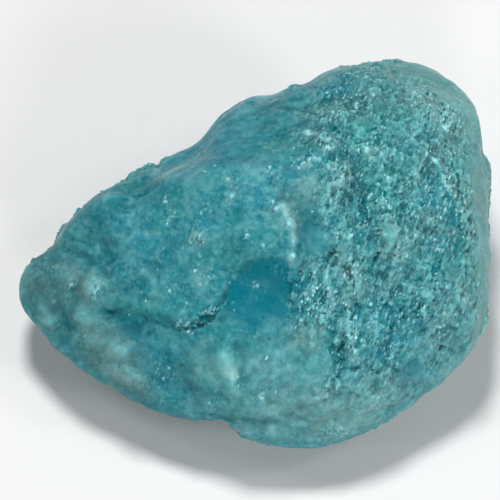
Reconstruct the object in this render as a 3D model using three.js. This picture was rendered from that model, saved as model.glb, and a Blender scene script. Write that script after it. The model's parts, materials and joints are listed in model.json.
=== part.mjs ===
// A rough piece of aquamarine: one cloudy, broken lump of crystal with a blunt point at its left end.
//
// Units are millimetres. The stone lies on a table: +Z is up, +X runs from its point to its blunt end,
// and the origin is under the middle of the stone, on the table.
//
// The shape is worked out in the stone's own face frame: u along the stone, v across its broad face, and
// w straight out of that face. A few broad fracture planes cut a pillow that has the stone's outline.
// The relief of the face, its ledges, hollows, ridges and lumps, is then added to that, and the outside
// of a fine ball is drawn in along rays until it meets the stone.
import * as THREE from "three";
import { mergeVertices } from "three/addons/utils/BufferGeometryUtils.js";

// ---- Driving dimensions ----------------------------------------------------------------------------

const LENGTH = 45; // from the point to the blunt end
const LEAN_DEG = 30; // how far the broad face leans back from lying level
const SEAT_HEIGHT = 9.6; // from the table up to the middle of the face frame
const FRONT_RISE = 12.6; // how far the pillow bulges out of its rim, towards the face
const BACK_DEPTH = 14; // the same, behind the rim
const RIM_SLOPE = -0.3; // how fast the rim drops back as it goes up the face
const EDGE_ROUNDING = 0.9; // where two fracture planes meet

const DRAWN_LENGTH = 45; // the length at which the points below are given
const SCALE = LENGTH / DRAWN_LENGTH;

// ---- The outline of the broad face, in u and v, round the stone from its blunt end ------------------

const OUTLINE = [
  [22.3, 0], [22.2, 3], [22.3, 7.9], [21.7, 9.8], [20.9, 12.9], [19.9, 15.3], [18, 17], // blunt end
  [15.4, 18.3], [13.9, 18.1], [12.5, 18.4], [11, 18], [7.2, 17.5], [6.1, 16.6], // top
  [4.6, 15.9], [3, 15.8], [1.5, 15.1], [-0.6, 15], [-1.9, 14.4], [-4, 12.2], [-5.6, 10.3], // back slope
  [-8.2, 9.3], [-9.3, 8.5], [-11, 8], [-13.5, 6.3], [-15.3, 5.2], [-17.3, 3.5], // left edge
  [-18.9, 1.6], [-19.4, 0.4], [-21.1, -0.7], [-22.2, -2], [-22.5, -3.6], [-22.1, -5.3], // point
  [-21, -7], [-19.3, -8.7], [-16.9, -11], [-14.6, -12.5], [-11.2, -14.5], // under the point
  [-8.4, -15.4], [-5.4, -15.8], [-3.6, -15.9], [-2.4, -16.4], [-1.2, -17.4], // lower left
  [1.8, -18.4], [5.5, -18.7], [7.6, -18.2], [9, -17.5], [11.2, -16.7], // lower lobe
  [14, -15.1], [17.3, -12.6], [20, -10], [21.5, -7.1], [22.2, -3.6], // lower right
];

// ---- Broad fracture planes: a point on each, and the way it faces, in u, v, w -----------------------

const FRACTURES = [
  { name: "broad left face", at: [-8, 0, 7.3], faces: [-0.36, 0.06, 0.93] },
  { name: "crown", at: [1, 2, 10.2], faces: [-0.12, 0.02, 0.99] },
  { name: "back slope", at: [-1, 11.5, 4.4], faces: [-0.22, 0.64, 0.74] },
  { name: "upper corner", at: [13, 14.5, 3.4], faces: [0.2, 0.66, 0.72] },
  { name: "granular face", at: [11, 1, 9.8], faces: [0.2, -0.02, 0.98] },
  { name: "granular face, top", at: [13, 9, 7.4], faces: [0.26, 0.3, 0.92] },
  { name: "blunt end, front", at: [19.5, 3, 5.2], faces: [0.72, 0.1, 0.69] },
  { name: "lower right", at: [14.5, -9.5, 7.7], faces: [0.42, -0.44, 0.79] },
  { name: "lower front", at: [4, -12.5, 9.6], faces: [0.04, -0.5, 0.86] },
  { name: "lower left", at: [-12, -9.5, 7], faces: [-0.36, -0.42, 0.83] },
  { name: "point, front", at: [-19.6, -2.5, 3.6], faces: [-0.55, 0.16, 0.82] },
  { name: "back of the left edge", at: [-11, 5, -7.1], faces: [-0.42, 0.58, -0.7] },
  { name: "back of the top", at: [5, 14, -9.9], faces: [-0.1, 0.72, -0.69] },
  { name: "back of the upper corner", at: [16, 12, -11.2], faces: [0.36, 0.6, -0.71] },
  { name: "blunt end, back", at: [19.5, 0, -6.5], faces: [0.68, -0.06, -0.73] },
];

// Fracture planes round the seat that the stone rests on, in x, y, z as it lies.
const UNDERSIDE = [
  { name: "under the point", at: [-6, 0, 0], faces: [-0.36, 0.06, -0.93] },
  { name: "under the left front", at: [-4, -5, 0], faces: [-0.3, -0.3, -0.9] },
  { name: "under the front", at: [2, -7.5, 0], faces: [0.05, -0.36, -0.93] },
  { name: "under the right front", at: [9, -5, 0], faces: [0.4, -0.24, -0.88] },
  { name: "under the blunt end", at: [11, 1, 0], faces: [0.52, 0.1, -0.85] },
  { name: "under the back", at: [3, 7, 0], faces: [0.1, 0.56, -0.82] },
  { name: "under the left back", at: [-4, 5, 0], faces: [-0.34, 0.46, -0.82] },
];

// ---- Relief of the broad face, in u and v -----------------------------------------------------------

// Each ledge follows its points. The face to the left of that way stands higher by drop than the face to
// its right, and both come back to level over reach.
const LEDGES = [
  {
    name: "edge of the broad left face",
    points: [
      [-14.6, -5.2], [-13, -6.2], [-11, -5.8], [-9, -6.5], [-6.8, -7.4], [-4.4, -6.2],
      [-2.8, -4.8], [-1.9, -2.4], [0.4, -0.9], [2.8, -1],
    ],
    drop: 1.2, reach: 4,
  },
  {
    name: "lip beside the hollow",
    points: [[4, -0.8], [4.2, 1], [3.9, 2.8], [3.1, 4.6], [1.8, 5.2]],
    drop: 1, reach: 3.5,
  },
  {
    name: "left side of the lower bulge",
    points: [[-7.2, -9], [-6.6, -11.6], [-5.9, -13.6], [-5.4, -15.4]],
    drop: 1, reach: 3.6,
  },
  {
    name: "lower lobe under the bulge",
    points: [[-5, -15.1], [-2.4, -15.3], [0.4, -15.6], [2.6, -15.6], [4.4, -16.6]],
    drop: 0.9, reach: 2.6,
  },
  {
    name: "shelf in the back slope",
    points: [[9.2, 15.4], [7, 14.2], [4.6, 13.2], [1.8, 13.6], [-0.6, 12.6]],
    drop: 0.7, reach: 2.4,
  },
  {
    name: "foot of the back slope",
    points: [[-5.8, 9.8], [-3.6, 8.9], [-1.8, 8]],
    drop: -0.5, reach: 2.4,
  },
];

const LEDGE_SLOPE = 0.6; // half the width over which a ledge drops
const CREST_SHARE = 0.25; // how far a ledge's edge stands proud, as a share of its drop
const LEDGE_ENDS = 0.15; // the share of its path over which a ledge rises at each end

// Each furrow is a groove along its points, and a furrow of negative depth is a ridge.
const FURROWS = [
  { name: "crevice under the top", points: [[3.6, 12.9], [6.6, 14], [8.8, 15]], depth: 0.8, width: 0.9 },
  { name: "hollow under the top", points: [[8.8, 14.8], [10.8, 13.2]], depth: 0.7, width: 1.3 },
  { name: "valley of the granular face", points: [[9.6, 8.6], [9.7, 5.6], [9.6, 2.8]], depth: 0.8, width: 1 },
  { name: "its lower end", points: [[9.6, 2.8], [11, 0.4], [12.2, -3.6]], depth: 0.5, width: 1.1 },
  { name: "ridge before the valley", points: [[8.8, 8.6], [7.6, 6.4], [6.9, 4.6]], depth: -0.8, width: 1.1 },
  { name: "steep ridge", points: [[9.4, -1.6], [8.5, -4.6], [8.5, -7.4], [9.3, -9.6]], depth: -0.7, width: 0.9 },
  { name: "shoulder ridge", points: [[16.3, 9], [17.7, 6.4], [18.9, 3.4]], depth: -0.6, width: 1 },
  { name: "corner ridge", points: [[15.2, 14.4], [16.6, 13], [18, 11.6]], depth: -0.6, width: 0.9 },
  { name: "saddle of the point", points: [[-19.4, 0.2], [-17, -0.4], [-14.2, 0.2]], depth: 0.8, width: 1.1 },
  { name: "crack under the point", points: [[-18.4, -6.2], [-17.4, -7.4]], depth: 0.7, width: 0.8 },
  { name: "end of the ledge", points: [[-14.6, -5.9], [-13.4, -6.1]], depth: 0.9, width: 0.8 },
  { name: "low right cut", points: [[11.4, -9.2], [13, -10.8]], depth: 0.6, width: 0.8 },
  { name: "bulge crest", points: [[-3.4, -9.2], [-2.6, -11], [-2, -13.2]], depth: -0.5, width: 1 },
];

// Each mound is a bell of this height on an ellipse, turned by turn degrees. A negative height sinks it.
const MOUNDS = [
  { name: "deep hollow", at: [1.2, -4], size: [3, 3.4], turn: 30, height: -1.7 },
  { name: "dark hollow beside the ridge", at: [7.3, -8.8], size: [1.1, 1.8], turn: 10, height: -0.8 },
  { name: "crystal block", at: [6.8, 10.3], size: [1.2, 0.9], turn: 20, height: 1 },
  { name: "knob on the point", at: [-15, -3.6], size: [1.5, 1.3], turn: 0, height: 0.8 },
  { name: "second knob", at: [-16, -6.2], size: [1.2, 0.9], turn: 0, height: 0.5 },
  { name: "lump under the ledge", at: [-12.8, -9.4], size: [1.4, 1.1], turn: -20, height: 0.9 },
  { name: "lump below it", at: [-11.4, -11.3], size: [1.5, 1], turn: -30, height: 0.9 },
  { name: "dimple under the lumps", at: [-11.8, -12.9], size: [1.2, 0.7], turn: -30, height: -0.6 },
  { name: "lower bulge", at: [1.5, -12], size: [5.5, 3.2], turn: -8, height: 0.8 },
  { name: "bulge of the lower right", at: [10, -14], size: [2.4, 1.7], turn: 20, height: 0.6 },
  { name: "boss on the granular face", at: [12.2, 2.4], size: [1.1, 1.4], turn: 0, height: 0.6 },
  { name: "swell above the valley", at: [12.6, 9.4], size: [2.6, 2], turn: -20, height: 0.5 },
  { name: "swell by the corner", at: [19.2, 12.4], size: [1.1, 1.3], turn: 0, height: 0.5 },
  { name: "swell of the left face", at: [-4.6, 1], size: [2.6, 3.6], turn: 30, height: 0.5 },
];

// ---- Unevenness that runs all over the stone --------------------------------------------------------

const BREAKS = [
  { cell: 6.5, tilt: 0.2 }, // broad breaks: each cell of this size has a plane tilted this much
  { cell: 3.3, tilt: 0.12 }, // small ones
];
const BREAK_BLEND = 7; // how sharply one plane gives way to the next

// How far out of the plane of the rim each of these starts, and where it reaches its full height. The
// rim itself keeps the outline.
const RELIEF_RISE = [-1, 5];
const BREAK_RISE = [0.5, 5];

// ---- Small helpers ----------------------------------------------------------------------------------

const clamp01 = (t) => Math.min(1, Math.max(0, t));
const smoothstep = (from, to, t) => {
  const s = clamp01((t - from) / (to - from));
  return s * s * (3 - 2 * s);
};
const bell = (t) => Math.exp(-t * t);

// The larger of a and b, rounded over a width of k where they are close.
const smoothMax = (a, b, k) => {
  const near = Math.max(0, k - Math.abs(a - b)) / k;
  return Math.max(a, b) + (near * near * k) / 4;
};

// Three even numbers from 0 to 1 for a whole-number cell, always the same for the same cell.
function cellNumbers(i, j, k) {
  let seed = (i * 374761393 + j * 668265263 + k * 2147483647) | 0;
  return [1, 2, 3].map(() => {
    seed = Math.imul(seed ^ (seed >>> 13), 1274126177);
    seed = (seed ^ (seed >>> 16)) + 0x9e3779b9;
    return ((seed >>> 8) & 0xffff) / 0xffff;
  });
}

// Where a point lies beside a path: its distance, how far along the path, and on which side.
function besidePath(points, u, v) {
  let best = { distance: Infinity, side: 1, end: 0 };
  for (let i = 0; i + 1 < points.length; i++) {
    const [u0, v0] = points[i];
    const [du, dv] = [points[i + 1][0] - u0, points[i + 1][1] - v0];
    const along = ((u - u0) * du + (v - v0) * dv) / (du * du + dv * dv);
    const t = clamp01(along);
    const distance = Math.hypot(u - u0 - t * du, v - v0 - t * dv);
    if (distance < best.distance) {
      const side = Math.sign(du * (v - v0) - dv * (u - u0)) || 1;
      best = { distance, side, end: (i + t) / (points.length - 1) };
    }
  }
  return best;
}

// ---- The stone as a function: negative inside, positive outside, about a distance in millimetres -----

const outline = new THREE.CatmullRomCurve3(
  OUTLINE.map(([u, v]) => new THREE.Vector3(u, v, 0)), true, "centripetal",
);

// The outline's distance from the middle of the face, for each of a number of even directions.
const RIM_STEPS = 720;
const rimRadii = (() => {
  const radii = new Array(RIM_STEPS).fill(0);
  for (const point of outline.getPoints(RIM_STEPS * 6)) {
    const turn = (Math.atan2(point.y, point.x) / (2 * Math.PI) + 1) % 1;
    const step = Math.round(turn * RIM_STEPS) % RIM_STEPS;
    radii[step] = Math.max(radii[step], Math.hypot(point.x, point.y));
  }
  return radii;
})();

function rimRadius(u, v) {
  const turn = ((Math.atan2(v, u) / (2 * Math.PI) + 1) % 1) * RIM_STEPS;
  const [low, share] = [Math.floor(turn), turn % 1];
  return rimRadii[low % RIM_STEPS] * (1 - share) + rimRadii[(low + 1) % RIM_STEPS] * share;
}

const PILLOW_POWER = 2.5; // 2 is an ellipsoid, and more is squarer

function pillow(u, v, w) {
  const radius = rimRadius(u, v);
  const height = w - RIM_SLOPE * v;
  const rise = height > 0 ? FRONT_RISE : BACK_DEPTH;
  const across = Math.hypot(u, v) / radius;
  const measure = (across ** PILLOW_POWER + Math.abs(height / rise) ** PILLOW_POWER) ** (1 / PILLOW_POWER);
  return (measure - 1) * Math.min(radius, rise);
}

const lean = THREE.MathUtils.degToRad(LEAN_DEG);

// From the stone's face frame to the way it lies on the table, and back.
const lying = new THREE.Matrix4().makeRotationX(lean).setPosition(0, 0, SEAT_HEIGHT);
const upright = lying.clone().invert();

const planeThrough = ({ at, faces }) =>
  new THREE.Plane().setFromNormalAndCoplanarPoint(
    new THREE.Vector3(...faces).normalize(), new THREE.Vector3(...at),
  );
const table = { at: [0, 0, 0], faces: [0, 0, -1] };
const seatPlane = planeThrough(table).applyMatrix4(upright);
const fracturePlanes = [
  ...FRACTURES.map(planeThrough),
  ...UNDERSIDE.map((plane) => planeThrough(plane).applyMatrix4(upright)),
];

function ledgeHeight({ points, drop, reach }, u, v) {
  const { distance, side, end } = besidePath(points, u, v);
  const fade = smoothstep(0, LEDGE_ENDS, end) * smoothstep(1, 1 - LEDGE_ENDS, end);
  const below = smoothstep(LEDGE_SLOPE, -LEDGE_SLOPE, side * distance);
  const crest = CREST_SHARE * drop;
  return fade * (crest - below * (crest + drop)) * (1 - smoothstep(0, reach, distance));
}

function furrowHeight({ points, depth, width }, u, v) {
  return -depth * bell(besidePath(points, u, v).distance / width);
}

function moundHeight({ at, size, turn, height }, u, v) {
  const angle = THREE.MathUtils.degToRad(turn);
  const [du, dv] = [u - at[0], v - at[1]];
  const along = (du * Math.cos(angle) + dv * Math.sin(angle)) / size[0];
  const over = (dv * Math.cos(angle) - du * Math.sin(angle)) / size[1];
  return height * bell(Math.hypot(along, over));
}

function relief(u, v) {
  let height = 0;
  for (const ledge of LEDGES) height += ledgeHeight(ledge, u, v);
  for (const furrow of FURROWS) height += furrowHeight(furrow, u, v);
  for (const mound of MOUNDS) height += moundHeight(mound, u, v);
  return height;
}

// Broken crystal: every cell of space has a plane of its own through its seed, a little tilted.
function brokenHeight({ cell, tilt }, u, v, w) {
  const [i0, j0, k0] = [u, v, w].map((x) => Math.floor(x / cell));
  let [sum, weights] = [0, 0];
  for (let i = i0 - 1; i <= i0 + 1; i++)
    for (let j = j0 - 1; j <= j0 + 1; j++)
      for (let k = k0 - 1; k <= k0 + 1; k++) {
        const seed = cellNumbers(i, j, k);
        const slope = cellNumbers(i + 57, j - 31, k + 13);
        const away = [u / cell - i - seed[0], v / cell - j - seed[1], w / cell - k - seed[2]];
        const weight = Math.exp(-BREAK_BLEND * (away[0] ** 2 + away[1] ** 2 + away[2] ** 2));
        const height = away[0] * (slope[0] - 0.5) + away[1] * (slope[1] - 0.5) + away[2] * (slope[2] - 0.5);
        sum += weight * height * 2 * tilt * cell;
        weights += weight;
      }
  return sum / weights;
}

function stone(u, v, w) {
  const fromRim = w - RIM_SLOPE * v;
  const onFace = smoothstep(...RELIEF_RISE, fromRim);
  const level = w - onFace * relief(u, v);
  let outside = pillow(u, v, level);
  const point = new THREE.Vector3(u, v, level);
  for (const plane of fracturePlanes) {
    outside = smoothMax(outside, plane.distanceToPoint(point), EDGE_ROUNDING);
  }
  const inFromRim = smoothstep(...BREAK_RISE, Math.abs(fromRim));
  for (const breaks of BREAKS) outside += inFromRim * brokenHeight(breaks, u, v, w);
  return Math.max(outside, seatPlane.distanceToPoint(new THREE.Vector3(u, v, w)));
}

// ---- The mesh ---------------------------------------------------------------------------------------

const BALL_DETAIL = 19; // each of the 20 faces of an icosahedron is cut into (detail + 1) squared triangles
const BALL_SHIFT = new THREE.Vector3(0, 0, 0.16); // moved towards the broad face, which gets finer triangles
const BALL_STRETCH = new THREE.Vector3(22, 17.5, 11); // as long, broad and thick as the stone
const WELL_OUTSIDE = 30; // further from the middle than any of the stone
const STRIDE = 0.35; // shorter than the stone is thick at its rim
const HALVINGS = 24;

// Goes in from well outside, along a direction from the middle, and returns the distance to the stone.
function distanceAlong(direction) {
  const { x, y, z } = direction;
  const outside = (t) => stone(x * t, y * t, z * t);
  let far = WELL_OUTSIDE;
  while (outside(far - STRIDE) > 0) far -= STRIDE;
  let near = far - STRIDE;
  for (let i = 0; i < HALVINGS; i++) {
    const middle = (near + far) / 2;
    if (outside(middle) > 0) far = middle;
    else near = middle;
  }
  return (near + far) / 2;
}

function stoneGeometry() {
  const ball = new THREE.IcosahedronGeometry(1, BALL_DETAIL);
  ball.deleteAttribute("normal");
  ball.deleteAttribute("uv");
  const geometry = mergeVertices(ball);
  const positions = geometry.getAttribute("position");
  const direction = new THREE.Vector3();
  for (let i = 0; i < positions.count; i++) {
    direction.fromBufferAttribute(positions, i).add(BALL_SHIFT).multiply(BALL_STRETCH).normalize();
    direction.multiplyScalar(distanceAlong(direction));
    positions.setXYZ(i, direction.x, direction.y, direction.z);
  }
  geometry.scale(SCALE, SCALE, SCALE);
  geometry.computeVertexNormals();
  return geometry;
}

// ---- The stone, lying on the table ------------------------------------------------------------------

const aquamarine = new THREE.Mesh(
  stoneGeometry(),
  new THREE.MeshStandardMaterial({ color: 0x4a9098, roughness: 0.38, metalness: 0 }),
);
aquamarine.name = "raw_aquamarine";
aquamarine.rotation.x = lean;
aquamarine.position.z = SEAT_HEIGHT * SCALE;

const middle = new THREE.Box3().setFromObject(aquamarine, true).getCenter(new THREE.Vector3());
aquamarine.position.x -= middle.x;
aquamarine.position.y -= middle.y;

const rawAquamarine = new THREE.Group();
rawAquamarine.add(aquamarine);

export default rawAquamarine;
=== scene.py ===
"""The looks of a rough piece of aquamarine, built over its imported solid.

The stone is one piece. Its solid is copied, made fine, and then worked the way a carver would work it:
the ledges are cut, ridges and grooves are raised and sunk, the granular side is broken into small steep
crystals and the smooth side is left waxy. Everything is in metres in the solid's own frame. Places on the
broad face are given in millimetres in the face frame: u along the stone, v across the broad face, w
straight out of it.
"""

import json
import math

import bpy
import numpy as np
from mathutils import Matrix, Vector, noise

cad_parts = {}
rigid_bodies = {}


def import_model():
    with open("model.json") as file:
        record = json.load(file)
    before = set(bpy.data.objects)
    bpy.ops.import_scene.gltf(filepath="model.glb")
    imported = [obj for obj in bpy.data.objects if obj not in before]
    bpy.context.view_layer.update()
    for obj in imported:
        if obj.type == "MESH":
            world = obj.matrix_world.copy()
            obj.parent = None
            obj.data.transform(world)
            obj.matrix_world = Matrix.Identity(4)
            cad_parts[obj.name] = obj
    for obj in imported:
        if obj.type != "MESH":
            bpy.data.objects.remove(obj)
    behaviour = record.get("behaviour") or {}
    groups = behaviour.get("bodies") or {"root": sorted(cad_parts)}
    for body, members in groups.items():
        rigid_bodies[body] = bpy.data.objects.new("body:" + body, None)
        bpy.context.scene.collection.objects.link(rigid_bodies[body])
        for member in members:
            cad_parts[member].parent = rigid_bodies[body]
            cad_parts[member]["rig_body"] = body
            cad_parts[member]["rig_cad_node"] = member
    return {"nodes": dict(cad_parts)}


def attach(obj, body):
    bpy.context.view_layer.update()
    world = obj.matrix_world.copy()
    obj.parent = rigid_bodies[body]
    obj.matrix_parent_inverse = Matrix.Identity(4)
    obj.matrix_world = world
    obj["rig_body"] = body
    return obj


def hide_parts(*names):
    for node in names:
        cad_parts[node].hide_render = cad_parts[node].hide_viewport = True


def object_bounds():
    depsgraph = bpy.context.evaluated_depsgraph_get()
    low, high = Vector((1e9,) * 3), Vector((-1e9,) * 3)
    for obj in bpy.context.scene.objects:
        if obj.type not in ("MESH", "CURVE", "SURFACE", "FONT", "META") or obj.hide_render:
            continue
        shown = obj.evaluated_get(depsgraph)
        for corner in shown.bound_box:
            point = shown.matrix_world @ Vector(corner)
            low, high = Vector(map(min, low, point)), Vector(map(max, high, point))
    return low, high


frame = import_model()
cad_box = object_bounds()

# ---- Sizes and places ----------------------------------------------------------------------------

MM = 0.001
LEAN = math.radians(30)  # how far the broad face leans back from lying level
FACE_MIDDLE = Vector((0.06, 0.03, 9.6)) * MM  # the middle of the face frame
FACE_TO_STONE = Matrix.Translation(FACE_MIDDLE) @ Matrix.Rotation(LEAN, 4, "X") @ Matrix.Scale(MM, 4)
STEEP = math.radians(68)  # how steeply the crystals lie across the face
OUT_OF_FACE = np.array(FACE_TO_STONE)[:3, 2]  # one millimetre straight out of the broad face
FINENESS = 2  # subdivisions of the solid's triangles
SUNK = 0.06  # how far the fine relief is sunk as a whole, so that the stone keeps its size, in millimetres

# The ledges of the broad face. Each follows points in u and v, and the face to the left of that way
# stands higher: by drop in the solid and by finished_drop on the finished stone, fading out at reach from
# the edge. The finished ledge may follow points of its own. It drops over twice slope, its edge wanders
# by ragged, and its shade reaches about as far as shade.
LEDGES = [
    # The edge of the broad left face
    dict(drop=1.2, finished_drop=0.48, reach=4, slope=0.5, ragged=1, shade=1.1,
         points=[(-14.6, -5.2), (-13, -6.2), (-11, -5.8), (-9, -6.5), (-6.8, -7.4), (-4.4, -6.2),
                 (-2.8, -4.8), (-1.9, -2.4), (0.4, -0.9), (2.8, -1)],
         finished=[(-14.6, -5), (-13, -6), (-11, -5.7), (-9, -6.3), (-6.8, -7.2), (-4.4, -6),
                   (-2.9, -5), (-2.1, -2.7), (-0.9, -1.3), (0.9, -0.6), (2.8, -0.6)]),
    # The lip beside the hollow
    dict(drop=1, finished_drop=0.8, reach=3.5, slope=0.25, ragged=0.35, shade=0.35,
         points=[(4, -0.8), (4.2, 1), (3.9, 2.8), (3.1, 4.6), (1.8, 5.2)],
         finished=[(3.7, -0.8), (3.8, 1), (3.5, 2.8), (2.8, 4.4), (1.6, 5.1)]),
    # The left side of the lower bulge
    dict(drop=1, finished_drop=0.6, reach=3.6, slope=0.7, ragged=1, shade=0.5,
         points=[(-7.2, -9), (-6.6, -11.6), (-5.9, -13.6), (-5.4, -15.4)]),
    # The lower lobe under the bulge
    dict(drop=0.9, finished_drop=0.6, reach=2.6, slope=0.4, ragged=1, shade=0.5,
         points=[(-5, -15.1), (-2.4, -15.3), (0.4, -15.6), (2.6, -15.6), (4.4, -16.6)]),
    # The shelf in the back slope
    dict(drop=0.7, finished_drop=0.6, reach=2.4, slope=0.3, ragged=1, shade=0.6,
         points=[(9.2, 15.4), (7, 14.2), (4.6, 13.2), (1.8, 13.6), (-0.6, 12.6)]),
]
SOLID_SLOPE = 0.6  # half the width over which the solid's ledges drop
SOLID_CREST = 0.25  # how far the solid's ledges stand proud at the edge, as a share of their drop
FINISHED_CREST = 0.12  # the same on the finished stone

# Ridges, and grooves where the height is below nought: the way each follows in u and v, its half width
# and its height, of which RIDGE_SHARE is raised.
RIDGE_SHARE = 0.7
RIDGES = [
    ([(7.6, 8.6), (8.8, 7.6), (8.9, 6)], 1.3, 0.4),
    ([(6.2, 3.6), (7.6, 2.6), (8.6, 1)], 1.1, 0.25),
    ([(11.9, 2.5), (12.4, 0.6)], 1.3, 0.35),
    ([(15.8, 9.6), (17, 8.2), (17.8, 6.4), (18.8, 5), (19.3, 3)], 1, 0.5),
    ([(8.4, -0.6), (9.4, -2.6), (9.8, -4)], 1, 0.4),
    ([(8.4, -4.6), (8.4, -7.4), (9, -10)], 0.8, 0.45),
    ([(6.6, -2.6), (6.9, -5.6)], 0.9, 0.3),
    ([(14.8, 14.8), (17, 13), (18.3, 11.4)], 1.2, 0.35),
    ([(6.2, 10.6), (7.2, 10)], 1, 0.6),
    ([(4.2, 8.1), (4.9, 8.7), (5.8, 8.7), (7, 8)], 0.5, 0.2),
    ([(13.5, 1.4), (13.8, -0.6)], 0.8, 0.25),
    ([(15.4, -5), (15.9, -6.8)], 0.7, 0.25),
    ([(-3.3, -9.2), (-2.4, -11), (-1.9, -13)], 1.4, 0.22),
    ([(-15.6, -2.2), (-15, -4.2)], 1.3, 0.4),
    ([(-13.4, -8.8), (-12, -9.6)], 1.3, 0.35),
    ([(-13.2, -11), (-11.4, -11.8)], 1.1, 0.35),
    ([(7.4, 11.4), (7.9, 9.8), (9.1, 8.4), (9.4, 6.4), (9.9, 4.4), (10.4, 3)], 0.8, -0.5),
    ([(9.4, -1.8), (11.4, -2.2)], 0.5, -0.25),
    ([(16.4, 9.2), (16, 6.6)], 0.7, -0.35),
    ([(18.9, 1.6), (18.4, -0.6)], 0.9, -0.35),
    ([(12.6, 3.6), (14.6, 3.2)], 0.7, -0.3),
    ([(7.6, -7), (8, -10.2)], 0.6, -0.35),
    ([(12.8, -7), (12, -8.6), (12, -10), (13.2, -11.2)], 0.6, -0.3),
    ([(10.4, -12.6), (11.6, -13)], 0.5, -0.25),
    ([(-14.4, -5.6), (-13.4, -6)], 0.6, -0.4),
    ([(-18.1, -6), (-17.8, -7.4)], 0.6, -0.4),
    ([(-17.6, -0.1), (-16.4, -0.4), (-14.6, -1.6)], 0.8, -0.3),
    ([(-11.6, -9.6), (-11.2, -11)], 0.5, -0.25),
    ([(-3.4, 8.5), (-1.4, 7.6), (-0.8, 7)], 0.6, -0.2),
    ([(-1.8, -8.3), (-1.1, -10.2), (-1.3, -12.2), (-0.3, -14)], 0.6, -0.3),
    ([(-1.8, 12.4), (0, 13.3), (3, 13)], 0.5, -0.2),
    ([(2, 14.2), (4.6, 14.5)], 0.4, -0.2),
]

# Rounded lumps: u, v, half length, half breadth, turn in degrees and height.
LUMPS = [
    # The point
    (-19.4, -3.5, 2.3, 2.5, 0, 0.5), (-15.5, -3.4, 1.1, 1.6, 0, 0.55), (-16.2, -6.3, 1.3, 0.9, 0, 0.45),
    (-14.9, -6.5, 0.8, 0.6, 0, 0.3), (-15, -8.4, 1.2, 0.9, -30, 0.3), (-19.6, -6.4, 1, 0.7, -50, 0.3),
    # The lower left
    (-13, -9.2, 1.5, 1.2, 20, 0.5), (-12.3, -11.4, 1.7, 1, -20, 0.45), (-9.4, -9.6, 2, 1.8, 0, 0.3),
    # The lower bulge
    (-3, -10, 1.3, 1.3, 0, 0.35), (-4.8, -11.4, 1.4, 1.9, 0, 0.35), (-2.1, -12.4, 1, 1.4, 20, 0.3),
    (0.8, -11.6, 2, 1.8, 0, 0.25), (0.4, -14.6, 1.6, 1.1, 0, 0.3), (3.2, -13.4, 1.6, 1.2, 0, 0.25),
    (6.2, -14.6, 1.8, 1.3, 10, 0.25), (1.7, -16.7, 1.7, 0.8, -5, 0.3), (-1.8, -16.2, 1.4, 0.7, -20, 0.25),
    (7.4, -16.6, 1.8, 1, 15, 0.25), (4.9, -9.6, 1.5, 2.2, 0, 0.25),
    # The broad left face
    (-10.2, -2.8, 1.8, 1.2, 0, 0.12), (-5.7, 1.1, 0.9, 1.1, -40, 0.2), (-11.6, 6.4, 1.8, 1, 40, 0.3),
    # The granular side
    (8, 6.8, 1.2, 1.9, -10, 0.4), (12.7, 1.6, 0.9, 1.3, -10, 0.35), (9.9, 11.5, 0.9, 1.2, 10, 0.3),
    (18.6, -4.6, 1.4, 1.8, 0, 0.25), (8, -0.6, 1.3, 1, 0, 0.25), (12.6, -0.4, 1.6, 0.9, 0, 0.25),
    # The right rim and corner
    (16.4, 14.9, 2, 1, -20, 0.3), (19.3, 12.8, 1, 1.2, 0, 0.3), (21.4, 8.8, 0.9, 1.3, 0, 0.25),
]

# Nicks in the rim, and small bumps where the height is above nought: u, v, half breadth and height.
NICKS = [
    (-3.1, -16, 0.5, -0.8), (-9.4, 8.3, 0.4, -0.35), (-10.1, 8.3, 0.4, 0.18), (-19.4, 0.2, 0.6, -0.25),
    (5.2, 16, 0.8, -0.2), (7, 17.5, 0.5, 0.16), (1.6, 15, 0.6, -0.25), (17.2, 17.3, 0.5, 0.15),
    (21.9, 9.6, 0.5, -0.25), (22.4, 8.2, 0.4, 0.2), (9, -17, 0.6, -0.25), (-14.8, -11.4, 0.4, -0.2),
    (-5.6, -15.8, 0.5, 0.2), (22.3, -0.4, 0.5, 0.2), (-12.2, 7.1, 0.5, -0.2), (12, 18.4, 0.5, 0.14),
    (14.4, -13.2, 1.6, 0.16), (18.4, -10.2, 0.8, 0.15), (6.2, -18.2, 1.5, 0.12), (20.4, 14.4, 1.4, 0.22),
    (15.4, 18.2, 0.9, 0.2), (-22.2, -3.9, 2.4, 0.25),
]

# Patches of the broad face, each an ellipse: u, v, half length, half breadth, turn in degrees and how
# strong. First, where the face is broken into small crystals, and the smoother gaps among them.
GRANULAR = [
    (13, 4, 9.5, 15, 8, 1), (6.5, -5.5, 3.6, 8, 5, 0.9), (8, 12, 5, 4, 0, 0.6), (10, -11.5, 5, 4, 0, 0.55),
    (-4.8, -6.1, 2.6, 0.7, 33, 0.8), (-18, -4, 5, 4, 0, 0.1), (-12, -10.5, 5, 3, -30, 0.1),
    (0, -13.5, 6, 3, 0, 0.2), (-3, 11, 6, 1.6, 35, 0.08),
]
GRANULAR_GAPS = [
    (4.6, 2.8, 1.4, 3.4, 18, 1), (22.3, 3, 1.6, 14, 3, 0.9), (16, 17.4, 5, 0.9, -20, 0.6),
    (5, -9.5, 1.8, 2.6, 0, 0.8), (4.5, 6.6, 1.6, 1.2, 0, 0.7), (9.8, 11.6, 0.9, 1.4, 0, 0.5),
    (12.3, 1.7, 0.8, 1.1, 0, 0.8), (5.6, 9.2, 1, 0.7, 0, 0.6),
]

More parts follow.
